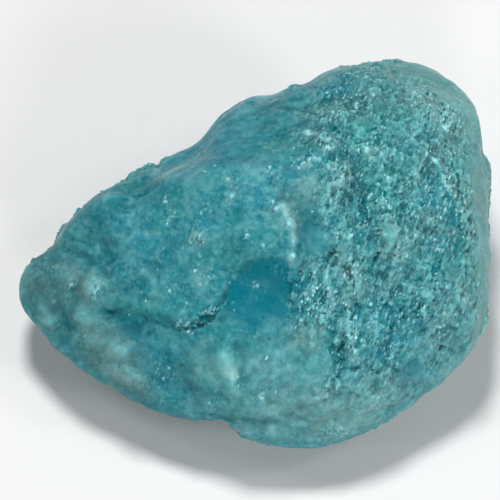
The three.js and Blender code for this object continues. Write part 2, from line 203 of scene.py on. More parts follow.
# Where the stone is milky.
MILKY = [
    # The point
    (-15.2, -3.7, 1.3, 1, 75, 0.55), (-16, -6.2, 1.4, 0.9, 0, 0.3), (-15, -4.6, 1.5, 1, 0, 0.4),
    (-17.3, -2.2, 0.9, 0.5, 60, 0.35), (-20, -6, 0.7, 0.5, 70, 0.6), (-15.6, -6.4, 1, 0.5, 20, 0.4),
    (-14, -8, 1.4, 0.7, 0, 0.15),
    # The lower left
    (-13, -9.3, 1.2, 0.9, 20, 0.42), (-12.6, -11.3, 1.7, 0.9, -15, 0.58), (-11.4, -11.6, 1, 0.4, -20, 0.6),
    # The lower bulge
    (-2.9, -9.7, 0.9, 0.7, 50, 0.5), (-2.3, -11.2, 1.2, 0.8, -60, 1), (-1.9, -12.7, 1, 0.4, -75, 0.8),
    (-4.4, -11, 2, 1.6, 0, 0.5), (0.5, -11.5, 3, 2.4, 0, 0.5), (-5, -8.7, 1.3, 0.5, 20, 0.4),
    (0.4, -14.4, 1.4, 1.2, 60, 0.35), (1.8, -16.6, 0.9, 0.6, 0, 0.5), (3.8, -11, 0.6, 0.8, 0, 0.5),
    (3, -13, 2.4, 1, 0, 0.3), (-5, -14, 1.3, 1, 0, 0.4), (7.5, -15.4, 3.4, 2, 10, 0.45),
    (4, -13.6, 5, 2.6, 10, 0.58),
    # The hollow and its lip
    (3, 3.5, 1.7, 0.62, -66, 1.15), (3.5, 1.4, 1.1, 0.42, -85, 0.9), (3.3, -0.6, 0.7, 0.45, -80, 1.1),
    (2.3, 3.2, 1.2, 1, -60, 0.4), (2, 4.2, 0.6, 0.35, 45, 0.8), (3.1, 4.3, 0.6, 0.45, 60, 1.2),
    (5, 6, 1.2, 1.6, 0, 0.25),
    # The broad left face
    (-5.6, 1.1, 1, 0.8, 50, 0.7), (-5.2, -2.6, 1, 0.6, 80, 0.5), (-6.4, 7.3, 2.2, 0.9, 0, 0.35),
    (-2.4, 5.2, 0.9, 0.5, 60, 0.5), (-2.6, 6.7, 0.5, 0.5, 0, 0.6), (0, 7.8, 1, 0.7, 30, 0.4),
    (-9.6, 7.6, 0.6, 0.4, 40, 0.5), (-8, 3.2, 0.8, 0.3, 60, 0.35),
    # The granular side
    (7.2, 6.5, 1, 0.4, 85, 0.6), (6.8, 5.3, 0.5, 0.4, 0, 0.6), (8.4, 7.2, 1, 0.7, 75, 0.6),
    (7.4, 7.8, 1.1, 0.3, 8, 0.8), (6.2, 10.7, 0.8, 0.6, 30, 0.4), (6.8, 9.7, 0.9, 0.4, 15, 0.9),
    (4.9, 8.4, 1, 0.35, 35, 0.9), (4.9, 11.1, 0.5, 0.35, 10, 1.1), (10.5, 9.2, 0.6, 0.25, -45, 0.8),
    (9.6, -3.4, 1, 0.6, 85, 0.6), (8.4, -7, 1.3, 0.3, -85, 0.7), (8.8, -9, 1.2, 0.4, -80, 0.5),
    (5.4, -3.2, 0.5, 0.3, 90, 0.6), (13.6, 0.9, 0.9, 0.5, 70, 0.6), (14.4, 1.4, 1.1, 0.5, 0, 0.4),
    (17.8, 6.5, 1.1, 0.35, -60, 0.9), (19.8, 2.9, 1, 0.3, -60, 0.8), (18.4, 1.8, 0.8, 0.4, 0, 0.6),
    (12.8, 2.2, 1, 0.35, -80, 0.6), (15.8, -6, 1, 0.3, -70, 0.6), (6.9, -4.6, 1.1, 0.4, 85, 0.5),
    (10.5, -14, 2.4, 0.9, 15, 0.4), (8, -0.8, 1.5, 1.2, 0, 0.7), (8.7, -2, 1.4, 1, 80, 0.9),
    (13.9, 5.3, 1.1, 0.8, 0, 0.5), (12.6, 0, 1.5, 1, 0, 0.65), (12, 1.8, 0.9, 0.7, 0, 0.35),
    (19.5, 5, 0.9, 1.6, 0, 0.35), (16.6, -7.8, 1.4, 1, 90, 0.3),
    # The right rim and corner
    (18.4, 13.2, 2.6, 2.2, 0, 0.5), (16, 15.6, 2.6, 1.2, -20, 0.4), (16.3, 14.8, 0.9, 0.4, -20, 0.6),
    (19.3, 12.6, 0.7, 0.5, -60, 0.7), (17.9, 11.6, 0.7, 0.3, -55, 0.8), (21.5, 9.3, 0.9, 0.7, 80, 0.5),
    (19.4, 12.2, 1.3, 1.4, 0, 0.4), (22, 2, 1.8, 12, 0, 0.15), (19.6, 12.4, 2.4, 3.2, 0, 0.2),
]

# Where it takes a grey, a green or a blue tint.
GREY = [
    # The point
    (-19, -3.5, 4.6, 3.6, -10, 0.75), (-16.3, -3, 1.8, 2, 0, 1), (-14.2, -9.2, 3.2, 2.2, -30, 1),
    # The lower left
    (-12.3, -12, 3, 1.2, -30, 1),
    # The lower bulge
    (4.5, -8, 1.6, 1.5, 0, 0.8), (7.6, -15.4, 4, 2.4, 10, 1), (6, -17.6, 3.4, 0.9, 0, 0.6),
    (1.2, -16.6, 2.2, 0.9, -10, 0.5), (1, -14.4, 1.4, 1.3, 0, 0.5),
    # The hollow and its lip
    (4.5, 5.5, 1.2, 1.6, 0, 0.6),
    # The back slope
    (7, 13.3, 1.6, 0.7, 0, 0.5), (-1, 12.6, 4.4, 1.6, 28, 0.2),
    # The granular side
    (8.2, 6.8, 1.7, 1.2, 80, 0.6), (11.5, 9.3, 1.5, 0.9, -20, 0.5), (11.2, 14.8, 1.6, 0.8, 0, 0.5),
    (15.7, 7.5, 2.2, 0.9, 80, 0.6), (16, 2.8, 1.5, 1.4, 0, 0.7), (14.2, 1, 2.2, 1.2, 0, 0.5),
    (13, -2.8, 2.4, 1.2, 0, 0.5), (18.7, -5, 2.1, 2.4, 0, 0.6), (12, -13, 4.2, 1.8, 10, 0.7),
    (8.6, -4.2, 0.8, 0.7, 90, 0.5), (8.8, -8.8, 1.7, 0.6, -80, 0.5), (14, 11, 2, 1.4, 0, 0.3),
    (17.6, -9.6, 2.4, 3, 30, 0.4),
    # The right rim and corner
    (16.5, 14.3, 3.4, 2, -25, 1), (19, 12.6, 3, 3, 0, 1), (22, 0, 2, 14, 0, 1),
    (17, 16.4, 4, 1.2, -20, 0.5),
]
GREEN = [
    # The point
    (-19.5, -3.2, 1.2, 1, 0, 0.4),
    # The lower left
    (-8, -8.6, 2, 0.7, 10, 0.3),
    # The lower bulge
    (5.2, -9.6, 2.2, 1.8, 0, 0.3), (5.6, -11.2, 2.4, 1.6, 0, 0.5), (-4.4, -11, 2, 1.3, 0, 0.7),
    (1.5, -14.6, 0.7, 0.7, 0, 0.6), (-1, -10, 1, 1, 0, 0.4), (6, -14.6, 2.4, 1.4, 0, 0.3),
    # The broad left face
    (-11, -5.2, 2.6, 0.6, -15, 0.5), (-11.5, 6.6, 1.7, 0.9, 45, 0.6), (-4, 7.6, 1.8, 0.6, -20, 0.5),
    (-4.5, -0.4, 1.6, 0.7, 0, 0.4),
    # The back slope
    (3.5, 10, 2.2, 0.7, 0, 0.6),
    # The granular side
    (9.8, 11.6, 1.9, 1.2, 80, 0.65), (10.3, 8.4, 2, 0.9, -75, 0.6), (13.4, 12.3, 2.6, 1.8, 0, 0.6),
    (19.6, 9.6, 3.2, 1.3, 85, 0.6), (20, 4.5, 3.2, 1, 90, 0.5), (7.6, -9, 1.3, 0.8, 90, 0.6),
    (12.4, 1.6, 1.1, 0.7, 90, 0.8), (10.3, -8, 0.8, 0.7, 0, 0.8), (13, 6, 2.2, 3, 0, 0.7),
    # The right rim and corner
    (16, 17, 4.4, 0.9, -15, 0.6), (20.5, -1, 3, 0.8, 90, 0.4),
]
BLUE = [
    # The point
    (-18.5, -5.2, 1.6, 0.9, 0, 0.6), (-16, -0.8, 1.6, 0.9, 30, 0.5), (-18.6, -7, 1.8, 0.9, -40, 0.5),
    (-17.6, -9.4, 3, 0.8, -42, 0.5),
    # The lower left
    (-6.8, -11.5, 2.2, 0.6, -80, 0.5), (-8.6, -10.6, 3.4, 2, -30, 0.4),
    # The lower bulge
    (0.4, -12, 1.7, 0.9, 90, 0.5), (0, -16.9, 1.6, 0.6, -15, 0.5), (-4.8, -14.4, 1.1, 1, 0, 0.4),
    # The hollow and its lip
    (4.3, 2.2, 2.2, 0.8, -75, 0.3),
    # The back slope
    (7.2, 15.4, 1.8, 0.8, 20, 0.7), (3.8, 15.4, 2.2, 0.7, 5, 0.6), (-1, 11.8, 3.8, 1.1, 30, 0.4),
    (-5.4, 9, 5, 1.8, 32, 0.9),
    # The granular side
    (14.8, -12, 1.8, 1.5, 80, 0.8), (16.3, 0.9, 1.1, 1, 0, 0.6), (17.6, -3.6, 1.3, 1, 0, 0.6),
    (8, -11.4, 2.2, 0.8, 0, 0.6), (12.6, -5, 2.8, 1.1, 90, 0.5), (12.8, -8.2, 1.8, 1.1, 0, 0.5),
    (13, 9, 0.9, 0.9, 0, 0.5), (15.2, 4.6, 1.3, 1, 90, 0.4), (15.5, -7.5, 1.5, 1.1, 90, 0.5),
]

# The outline of the clear hollow in u and v, followed clockwise.
POOL = [
    (-2.9, -5.2), (-2.1, -2.7), (-1.05, -1.5), (-0.2, -0.85), (1, -0.55), (2.8, -0.5), (3.3, -1.8),
    (3.8, -3.2), (3.3, -5), (1.6, -6.6), (-0.6, -7.2), (-2.4, -6.6), (-2.9, -5.2),
]

# Where it is deep and dark: partly the stone's own deep tone, partly painted shade in its crevices and
# pits, under its ledges and along its lower left rim.
DEEP_AND_SHADED = [
    # The point
    (-19.2, -4, 3.4, 4.8, 0, 0.8), (-15, -8.6, 4.6, 2.8, -35, 0.6), (-17.4, -9, 3.6, 0.8, -38, 0.6),
    (-13.8, -7.9, 1.4, 0.9, 0, 0.4), (-13.8, -5.9, 0.7, 0.4, 30, 1), (-17, -0.2, 1, 0.5, -10, 0.8),
    (-14.2, -0.6, 1.3, 0.8, 90, 0.6), (-13.8, -2, 0.6, 0.5, 0, 0.7), (-14, 1, 1, 0.5, 90, 0.5),
    (-17.9, -6.7, 1, 0.45, -75, 1.1), (-18.4, -7.9, 1.6, 0.6, -40, 0.9), (-18.6, -5, 1, 0.5, 20, 0.8),
    # The lower left
    (-12.4, -12.7, 3.4, 0.8, -35, 0.6), (-8.2, -14.7, 2.2, 0.6, -14, 0.25), (-10.3, -6.9, 3, 1.1, -6, 1),
    (-13, -6.4, 1.1, 0.5, 0, 0.6), (-6.1, -13.2, 1.2, 0.35, -50, 0.8), (-6.8, -10.6, 1.7, 0.4, -85, 0.5),
    (-11.4, -10.3, 0.9, 0.3, -60, 0.7), (-7.4, -9.5, 0.6, 0.3, 0, 0.6), (-12, -12.8, 1.6, 0.5, -20, 0.6),
    (-9, -10.2, 3.2, 2.6, 0, 0.5), (-7.9, -6.9, 0.9, 0.4, -30, 0.5),
    # The lower bulge
    (-1.3, -11, 2.6, 0.3, 88, 0.5), (-1.3, -8.9, 1, 0.8, 0, 0.6), (1.3, -8, 1.7, 0.6, 10, 0.5),
    (-3, -15.6, 2.6, 0.4, -8, 0.6), (-1.4, -16.1, 1.3, 0.35, -20, 0.7), (2.3, -16, 0.9, 0.6, -40, 0.6),
    (4.4, -14.8, 1.3, 0.6, 20, 0.5),
    # The hollow and its lip
    (4.7, 1.4, 0.8, 2.4, -6, 0.4), (-2.8, -4.5, 1, 0.6, 75, 1), (-1.7, -2.6, 1.9, 0.4, 58, 0.8),
    (1, -0.9, 1.6, 0.35, 8, 0.6), (-0.2, -6.4, 0.9, 0.3, 0, 0.6), (1.4, -2.2, 0.9, 0.3, -10, 0.5),
    (4.3, 0.4, 1.8, 0.4, 86, 0.5), (4.1, 3.5, 1.8, 0.4, -65, 0.6),
    # The broad left face
    (-10.6, -1.6, 1.4, 1, 0, 0.45), (-13.6, 4, 3.6, 1.8, 42, 0.5), (-5.8, -6.7, 1.3, 0.6, 20, 0.8),
    (-4.2, -5.7, 1.2, 0.6, 35, 1), (-9.4, 6.4, 1.7, 0.8, -15, 0.5), (-10.6, 5, 0.9, 0.8, 0, 0.4),
    (-10.9, -3, 0.9, 0.7, 0, 0.5), (-10, -4.3, 1.7, 0.4, -8, 0.5),
    # The back slope
    (-0.6, 10.6, 6, 2, 30, 0.25), (6.4, 14.2, 1.2, 0.3, 15, 0.9), (5, 13.3, 1.1, 0.4, -20, 0.8),
    (3.9, 14.4, 0.9, 0.25, -5, 0.5), (4.3, 12.9, 0.9, 0.3, 0, 0.5),
    # The granular side
    (6, 11.6, 2.6, 2, 20, 0.6), (8.4, 14.2, 2.4, 1.6, 20, 0.6), (9.6, 16.6, 2, 1, 0, 0.4),
    (12.3, 3.3, 1.8, 1.1, 0, 1), (7.8, 10.9, 1.1, 1, 0, 0.7), (12.2, -3.7, 1.6, 1.1, 0, 0.8),
    (16.4, 3, 1.5, 1.2, 0, 0.9), (8.2, 14.2, 1, 0.4, 30, 0.9), (9.6, 14.2, 1.5, 0.9, 30, 0.6),
    (10.7, 13.6, 0.7, 0.5, 0, 0.7), (8.5, 15.4, 0.7, 0.6, 0, 0.5), (7.9, 9.8, 1.3, 0.4, -65, 0.8),
    (9.3, 7.4, 1.2, 0.35, -80, 0.9), (9.4, 6, 0.6, 0.5, 0, 0.8), (9.9, 4.6, 1, 0.6, -60, 0.8),
    (10.3, 2.8, 1.3, 0.8, -30, 0.8), (9.9, 1.2, 1.1, 0.8, 0, 0.5), (13, 7.6, 0.4, 0.4, 0, 0.9),
    (13, 3.5, 0.7, 0.35, 0, 0.8), (13.7, 4.3, 0.6, 0.3, 0, 0.7), (14.5, 3, 1.5, 0.7, 0, 0.5),
    (10.8, -2, 1, 0.25, -8, 0.8), (9.3, -2.9, 0.35, 0.35, 0, 0.8), (8.8, -5, 0.9, 0.4, 90, 0.5),
    (18.7, 1.1, 0.6, 0.3, 0, 0.9), (18.4, 0.1, 0.9, 0.7, 0, 0.7), (16.2, 8.3, 1.1, 0.35, 85, 0.8),
    (17, 9.6, 1.3, 0.7, 0, 0.6), (7.2, -7.4, 0.6, 0.4, 80, 0.8), (7.9, -9.2, 1.2, 0.35, -85, 0.6),
    (12.7, -7.3, 0.6, 0.4, 30, 0.6), (12.1, -10.1, 0.5, 0.4, 0, 0.7), (12.8, -10.8, 0.8, 0.25, -45, 0.9),
    (11, -12.8, 0.6, 0.3, -10, 0.9), (14, -5.5, 1, 1, 0, 0.6),
]

# Where small bright crystals crowd together; their pale flecks are partly painted glints.
SPARKLING = [
    # The point
    (-15.3, -3.6, 1, 0.6, 75, 0.7), (-18, -4, 3.4, 3, 0, 0.4),
    # The lower left
    (-6.4, -6.8, 1.4, 0.6, -30, 0.7), (-9, -11, 4, 2, -20, 0.35),
    # The lower bulge
    (7.4, -16.8, 1.2, 0.8, 10, 0.9), (1, -12, 5, 4, 0, 0.45),
    # The broad left face
    (-5.6, 0.9, 1.7, 1.1, 60, 1), (1.6, 4.6, 1, 0.5, -70, 0.6), (-2.2, 5, 0.8, 0.5, 60, 0.6),
    (-4.6, -5.9, 1.6, 0.5, 35, 0.7), (-6, 2, 8, 5, 20, 0.25),
    # The granular side
    (19, 5.4, 3.2, 0.9, -58, 1), (20, 2.4, 1.6, 0.9, -60, 1), (5.3, -3.8, 2.8, 1.1, 85, 0.9),
    (8.7, -7, 3, 0.9, -85, 1), (8.8, -2, 2, 1, 85, 0.8), (5, 8.9, 1.5, 0.5, 35, 1),
    (7, 10.6, 1.5, 0.9, 15, 1), (10.7, 9, 1.2, 0.8, -60, 1), (14.4, -5.6, 1.6, 1, 0, 0.7),
    (9.2, 14, 1.8, 0.6, 20, 0.9), (12.4, 5, 1.8, 1.6, 0, 0.7), (8, 7, 1.8, 1, 80, 0.8),
    (15.4, 2.2, 2, 1.4, 0, 0.5),
    # The right rim and corner
    (17.2, 13.2, 2.8, 1.5, -60, 1),
]

# The brightest single crystals, with a painted highlight besides: u, v and half breadth. Their flat
# tops all face the way that CLEAVAGE points, so they flash together. A glint of half breadth FULL_GLINT
# is at full strength.
CLEAVAGE = FACE_TO_STONE.to_3x3().normalized() @ Vector((-0.06, 0.4, 0.915))
FULL_GLINT = 0.28
GLINTS = [
    # The point
    (-17.4, -3, 0.22), (-18, -4.1, 0.18), (-15.1, -3.8, 0.22), (-14.7, -3.4, 0.2),
    # The lower left
    (-7.1, -6.4, 0.2), (-6.3, -7.4, 0.22), (-7.3, -6.9, 0.2), (-8.7, -11.7, 0.2), (-8.5, -10.9, 0.18),
    # The lower bulge
    (-4.3, -14, 0.2), (0.6, -13.4, 0.36), (-1.9, -12.6, 0.2), (-2.1, -11.5, 0.18), (8, -16.5, 0.25),
    (6, -17.6, 0.25), (6.4, -17.1, 0.2),
    # The hollow and its lip
    (2, 4, 0.25), (2.2, 5.4, 0.15), (-2.6, -2.9, 0.18), (0.1, -3.1, 0.22), (3, 2.7, 0.22), (3.6, 3.4, 0.2),
    (3.5, -0.3, 0.22), (3.4, 1, 0.2),
    # The broad left face
    (-4.8, 7.5, 0.2), (-3.9, 8.2, 0.2), (1.35, 7.85, 0.22), (1.1, 7.5, 0.2), (-2.6, 6.8, 0.2),
    (-1.8, 6.9, 0.18), (-8.4, 4.7, 0.2), (-8, 4.2, 0.15), (-7.7, 3.3, 0.15), (-5.1, 3.6, 0.2),
    (-4.4, 4.4, 0.15), (-2.2, 5.2, 0.22), (-2.4, 4.7, 0.15), (-1.9, 4.4, 0.15), (-0.8, 4.6, 0.15),
    (1.5, 4.8, 0.22), (-5.4, 1.6, 0.22), (-6.1, 0.8, 0.16), (-5.2, -0.4, 0.2), (-9.1, -0.8, 0.18),
    (-0.8, 1.5, 0.25), (0.1, 0.8, 0.15), (0.6, 0.7, 0.2), (-5.7, -1.7, 0.22), (-5.2, -2, 0.15),
    (-4.4, -2.3, 0.2), (-5.2, -3, 0.2), (-8, -3.6, 0.22), (-6.5, -4.7, 0.2), (-6.7, -5.4, 0.15),
    (3.9, 8, 0.22),
    # The granular side
    (7.6, -8, 0.28), (4.3, 8.35, 0.24), (4.8, 8.7, 0.24), (5.3, 8.9, 0.2), (5.8, 8.75, 0.2),
    (4.9, 11.1, 0.25), (5.5, 11.2, 0.2), (6.1, 10.6, 0.22), (6.9, 10.7, 0.25), (6.6, 9.7, 0.25),
    (7.4, 10, 0.2), (10.3, 9.5, 0.28), (10.7, 8.7, 0.22), (12.4, 6.9, 0.28), (10.6, 5.2, 0.3),
    (12.5, 4.3, 0.28), (11.8, 4.1, 0.2), (9.4, 3.4, 0.22), (8.1, 3.1, 0.2), (8.7, 1.5, 0.25),
    (13.7, 8.8, 0.22), (12, 1.6, 0.2), (13.3, 0.5, 0.25), (14, -0.4, 0.22), (9.3, -1.8, 0.2),
    (10.7, -4.8, 0.28), (11.2, -5.8, 0.28), (9.4, -6, 0.25), (8.3, -6.3, 0.25), (8.5, -7.7, 0.28),
    (10.4, -7, 0.2), (11, -7.6, 0.2), (8.9, -10.6, 0.22), (12.3, -9.9, 0.2), (14.4, -5.5, 0.25),
    (13.3, -5.9, 0.2), (14.2, -6.4, 0.2), (17, -7, 0.28), (15.5, -5.4, 0.2), (14.9, -3.8, 0.2),
    (13.7, -2.9, 0.22), (16.8, -1.3, 0.15), (18.5, -0.9, 0.22), (15.6, 1.3, 0.2), (16.6, 3, 0.22),
    (18.6, 2.1, 0.25), (19.5, 1.3, 0.2), (19.6, 3.2, 0.22), (20, 3.9, 0.2), (18.9, 3.8, 0.22),
    (17.8, 4.5, 0.22), (17.5, 7, 0.25), (17.8, 6.4, 0.25), (18.6, 5.3, 0.22), (19.6, 5.4, 0.2),
    (19.9, 7.3, 0.28), (16.7, 8.7, 0.28), (18.1, 8.3, 0.2), (13.1, 7.8, 0.2), (14.3, 6.5, 0.2),
    (14.8, 14.8, 0.2), (14, 11.4, 0.2), (11.1, 12.6, 0.2), (9.4, 13.9, 0.25), (8.6, 14.3, 0.2),
    (10.8, 13.3, 0.18), (5.3, -3.2, 0.22), (5.2, -5, 0.2), (7.3, -4.7, 0.2), (9.9, -0.3, 0.2),
    (17.9, 0.6, 0.2), (11.4, 6.3, 0.22),
    # The right rim and corner
    (15.4, 11.6, 0.2), (16.6, 10.5, 0.2), (17.8, 12.8, 0.25), (17.8, 11.7, 0.28), (18.2, 13.8, 0.25),
    (16.4, 14.8, 0.22), (19.4, 12.3, 0.25), (19.8, 10.4, 0.22), (20.6, 9.6, 0.18), (20.9, -2.9, 0.22),
    (20.9, -0.1, 0.15),
]

# ---- Small helpers -------------------------------------------------------------------------------


def smooth_step(low, high, value):
    """0 at low and 1 at high, with a smooth rise between them."""
    share = np.clip((value - low) / (high - low), 0, 1)
    return share * share * (3 - 2 * share)


def vertex_array(mesh, name="co"):
    values = np.zeros(len(mesh.vertices) * 3, np.float32)
    mesh.vertices.foreach_get(name, values)
    return values.reshape(-1, 3).astype(float)


def set_vertices(mesh, places):
    mesh.vertices.foreach_set("co", places.astype(np.float32).ravel())
    mesh.update()


def in_face_frame(places):
    to_face = np.array(FACE_TO_STONE.inverted())
    return places @ to_face[:3, :3].T + to_face[:3, 3]


def facing_out(mesh):
    """How squarely each place faces out of the broad face: 1 is straight out, 0 edge on, -1 backwards."""
    return vertex_array(mesh, "normal") @ OUT_OF_FACE / MM


def beside_path(points, u, v):
    """Distance from each place to a path, the side it lies on, and how far along the path it is."""
    nearest = np.full(len(u), np.inf)
    side = np.ones(len(u))
    along = np.zeros(len(u))
    for i, ((u0, v0), (u1, v1)) in enumerate(zip(points, points[1:])):
        du, dv = u1 - u0, v1 - v0
        share = np.clip(((u - u0) * du + (v - v0) * dv) / (du * du + dv * dv), 0, 1)
        distance = np.hypot(u - u0 - share * du, v - v0 - share * dv)
        closer = distance < nearest
        nearest[closer] = distance[closer]
        side[closer] = np.sign(du * (v - v0) - dv * (u - u0))[closer]
        along[closer] = ((i + share) / (len(points) - 1))[closer]
    return nearest, side, along


def from_middle(u, v, at_u, at_v, length, breadth, turn):
    """How far each place lies from the middle of a turned ellipse, which is 1 at its edge."""
    c, s = math.cos(math.radians(turn)), math.sin(math.radians(turn))
    du, dv = u - at_u, v - at_v
    return np.hypot((du * c + dv * s) / length, (dv * c - du * s) / breadth)


def patches(spots, u, v, ragged, softness=0.55):
    """How strongly each place lies in any of the patches, whose edges are ragged."""
    strongest = np.zeros(len(u))
    for *ellipse, strength in spots:
        out = from_middle(u, v, *ellipse) + ragged
        strongest = np.maximum(strongest, strength * smooth_step(1 + softness, 1 - softness, out))
    return strongest


def cloudy(places, size, seed):
    """Soft noise from about -1 to 1, whose lumps have this size in millimetres."""
    return np.array([noise.noise(Vector(p) / size + Vector((seed, seed, seed))) for p in places])


def crystal_planes(places, cell, seed):
    """Breaks the space of the stone into crystals, each with a flat top of its own height and tilt.
    cell is the crystals' size along u, v and w in millimetres. Returns each place's height, -1 to 1."""
    heights = np.zeros(len(places))
    for n, place in enumerate(places / np.array(cell)):
        here = Vector(place) + Vector((seed, seed, seed))
        crystal = noise.voronoi(here)[1][0]
        level, *tilt = noise.cell_vector(crystal * 91.7)
        tilt.append(noise.cell(crystal * 53.3))
        heights[n] = level - 0.5 + (here - crystal).dot(Vector(tilt) * 2 - Vector((1, 1, 1)))
    return heights


def knobs(places, size, seed):
    """Rounded lumps of this size in millimetres, packed against each other: about -0.5 to 0.5."""
    heights = np.zeros(len(places))
    for n, place in enumerate(places / size):
        heights[n] = 0.5 - noise.voronoi(Vector(place) + Vector((seed, seed, seed)))[0][0]
    return heights


def steeply(places):
    """The same places with the face frame turned about w, so that its first axis lies along the crystals."""
    c, s = math.cos(STEEP), math.sin(STEEP)
    return places @ np.array([[c, -s, 0], [s, c, 0], [0, 0, 1]])


def smoothed(mesh, places, rounds, share=1.0):
    """The same places, each moved this share of the way to the middle of its neighbours, round by round."""
    ends = np.zeros(len(mesh.edges) * 2, np.int32)
    mesh.edges.foreach_get("vertices", ends)
    a, b = ends.reshape(-1, 2).T
    count = np.bincount(a, minlength=len(places)) + np.bincount(b, minlength=len(places))
    level = places.copy()
    for _ in range(rounds):
        total = np.zeros_like(level)
        for axis in range(3):
            total[:, axis] += np.bincount(a, level[b, axis], len(places))
            total[:, axis] += np.bincount(b, level[a, axis], len(places))
        level += (total / count[:, None] - level) * share
    return level


# ---- The stone -----------------------------------------------------------------------------------


def fine_copy_of_the_solid():
    """A merged copy of the solid, with each triangle made into smooth fine quads."""
    bpy.ops.object.select_all(action="DESELECT")
    solid = frame["nodes"]["raw_aquamarine"]
    bpy.context.view_layer.objects.active = solid
    solid.select_set(True)
    bpy.ops.object.duplicate()
    stone = bpy.context.view_layer.objects.active
    stone.name = stone.data.name = "rough_stone"
    # The copy is no solid of the frame's, so the frame's labels come off.
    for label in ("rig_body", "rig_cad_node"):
        del stone[label]
    stone.data.materials.clear()
    bpy.ops.object.mode_set(mode="EDIT")
    bpy.ops.mesh.select_all(action="SELECT")
    bpy.ops.mesh.remove_doubles(threshold=0.001 * MM)
    bpy.ops.object.mode_set(mode="OBJECT")
    bpy.ops.mesh.customdata_custom_splitnormals_clear()
    finer = stone.modifiers.new("finer", "SUBSURF")
    finer.levels = finer.render_levels = FINENESS
    bpy.ops.object.modifier_apply(modifier=finer.name)
    bpy.ops.object.shade_smooth()
    return stone


def broad_side(face, facing):
    """1 on the broad front face, falling to 0 on the steep sides and the back."""
    _, v, w = face.T
    return smooth_step(-2, 2, w + 0.3 * v) * smooth_step(0.08, 0.36, facing)


def back_left_bend(face, facing):
    """1 where the broad left face bends away at its back edge, which is kept even, and 0 elsewhere."""
    u, v, _ = face.T
    bend = smooth_step(0.7, 0.35, facing) * smooth_step(3, 0, u) * smooth_step(1, 4, v)
    return bend * smooth_step(13, 10.5, v)


def recut_ledges(face):
    """How far each place moves out of the face to turn the solid's ledges into ragged, lower ones, and how
    deep in the shade of a ledge it lies."""
    u, v, _ = face.T
    lift = np.zeros(len(face))
    shade = np.zeros(len(face))
    wander = 0.3 * cloudy(face, 1.4, 3.1) + 0.2 * cloudy(face, 0.55, 6.2)
    for ledge in LEDGES:
        distance, side, along = beside_path(ledge["points"], u, v)
        away = smooth_step(0, ledge["reach"], distance)
        lift -= ledge_height(ledge["drop"], SOLID_CREST, SOLID_SLOPE, away, side * distance, along)
        distance, side, along = beside_path(ledge.get("finished", ledge["points"]), u, v)
        away = smooth_step(0, ledge["reach"], distance)
        across = side * distance + ledge["ragged"] * wander
        lift += ledge_height(ledge["finished_drop"], FINISHED_CREST, ledge["slope"], away, across, along)
        below = smooth_step(0.15, -0.2, across) * smooth_step(-1.5, -0.5, across / ledge["shade"])
        shade = np.maximum(shade, below * smooth_step(0, 0.1, along) * smooth_step(1, 0.9, along))
    return lift, shade


def ledge_height(drop, crest_share, slope, away, across, along):
    """The height of a ledge at each place, which fades at its two ends and as away goes from 0 to 1."""
    fade = smooth_step(0, 0.15, along) * smooth_step(1, 0.85, along) * (1 - away)
    crest = crest_share * drop
    return fade * (crest - smooth_step(slope, -slope, across) * (crest + drop))


def raise_ridges(face):
    """How far each place moves out of the face for the ridges, and into it for the grooves."""
    u, v, _ = face.T
    lift = np.zeros(len(face))
    wander_u = 0.35 * cloudy(face, 1.3, 12.4)
    wander_v = 0.35 * cloudy(face, 1.3, 17.9)
    for points, half_width, height in RIDGES:
        distance, _, _ = beside_path(points, u + wander_u, v + wander_v)
        lift += RIDGE_SHARE * height * (1 - smooth_step(0, half_width, distance))
    return lift


def raise_lumps(face):
    """How far each place moves out of the face for the rounded lumps."""
    u, v, _ = face.T
    lift = np.zeros(len(face))
    wander = 0.3 * cloudy(face, 1.2, 25.2)
    for *ellipse, height in LUMPS:
        out = from_middle(u, v, *ellipse) + wander
        lift = np.maximum(lift, height * np.clip(1 - out * np.abs(out), 0, 1) ** 0.7)
    return lift


def fine_relief(face, granular, milky, even):
    """How far each place moves out of the surface, in millimetres: small steep crystals on the granular
    side and low waxy swells on the smooth side, with lumps where it is milky and less where it is even."""
    steep = steeply(face)
    crystals = 0.14 * crystal_planes(face, (2.6, 2.6, 2.6), 0.4)
    crystals += 0.22 * crystal_planes(steep, (2.2, 0.7, 1.0), 2.3)
    crystals += 0.13 * crystal_planes(steep, (0.75, 0.42, 0.5), 8.1)
    waxy = 0.2 * cloudy(face, 2.6, 0.9) + 0.07 * crystal_planes(face, (1.6, 1.3, 1.6), 5.9)
    waxy += 0.07 * cloudy(face, 1.4, 4.2) + 0.13 * knobs(face, 1.0, 14.3)
    lumps = 0.3 * knobs(face, 1.7, 2.8) + 0.12 * knobs(face, 0.8, 9.3)
    smooth_side = (1 - 0.75 * even) * waxy + np.minimum(milky, 0.8) * lumps
    return granular * crystals + (1 - granular) * smooth_side - SUNK


def nicked(height, face, facing):
    """The same heights with the nicks and the small bumps of the rim."""
    u, v, _ = face.T
    rim = smooth_step(0.8, 0.4, np.abs(facing))
    for at_u, at_v, half_breadth, bump in NICKS:
        near = smooth_step(1.5 * half_breadth, 0, np.hypot(u - at_u, v - at_v))
        height = height + bump * rim * near
    return height


